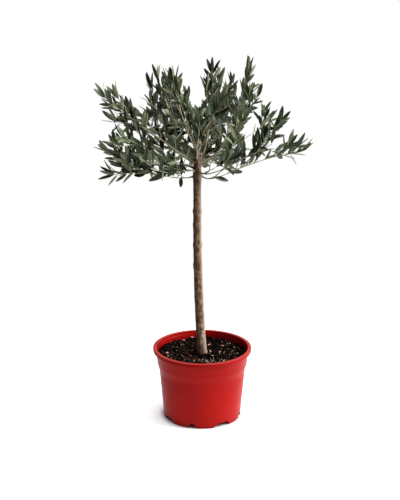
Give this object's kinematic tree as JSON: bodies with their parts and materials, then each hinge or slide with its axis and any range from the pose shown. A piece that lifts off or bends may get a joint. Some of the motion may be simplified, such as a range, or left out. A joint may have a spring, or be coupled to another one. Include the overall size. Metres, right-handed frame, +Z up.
{
  "type": "potted olive tree",
  "caption": "Young olive tree grown as a small standard: a slim bare trunk with an open leafy crown, in soil in a round nursery pot that stands on its own foot.",
  "frame": {"origin": "middle of the pot's underside, on its flat central pad, at the level of the surface it stands on", "axes": "+Z up along the pot's axis; the pictured front of the tree faces -Y; +X is to its right in the picture"},
  "size_m": [0.4008, 0.3673, 0.6897],
  "materials": {
    "pot_plastic": "satin moulded polypropylene, red",
    "soil": "moist dark potting soil with bark chips",
    "bark": "young brown-grey bark, slightly rough",
    "foliage": "leathery grey-green leaves with paler backs"
  },
  "bodies": {
    "root": {"pot": "pot_plastic", "soil": "soil", "trunk": "bark", "bough_low_left": "bark", "bough_left": "bark", "bough_upper_left": "bark", "bough_top_left": "bark", "bough_top_centre": "bark", "bough_right": "bark", "bough_low_right": "bark", "bough_back_right": "bark", "bough_back": "bark", "bough_upper_back": "bark", "bough_back_left": "bark", "bough_front": "bark", "bough_front_left": "bark", "bough_front_right": "bark", "foliage_low_left": "foliage", "foliage_left": "foliage", "foliage_upper_left": "foliage", "foliage_top_left": "foliage", "foliage_top_centre": "foliage", "foliage_right": "foliage", "foliage_low_right": "foliage", "foliage_back_right": "foliage", "foliage_back": "foliage", "foliage_upper_back": "foliage", "foliage_back_left": "foliage", "foliage_front": "foliage", "foliage_front_left": "foliage", "foliage_front_right": "foliage", "foliage_leader": "foliage"}
  },
  "joints": []
}
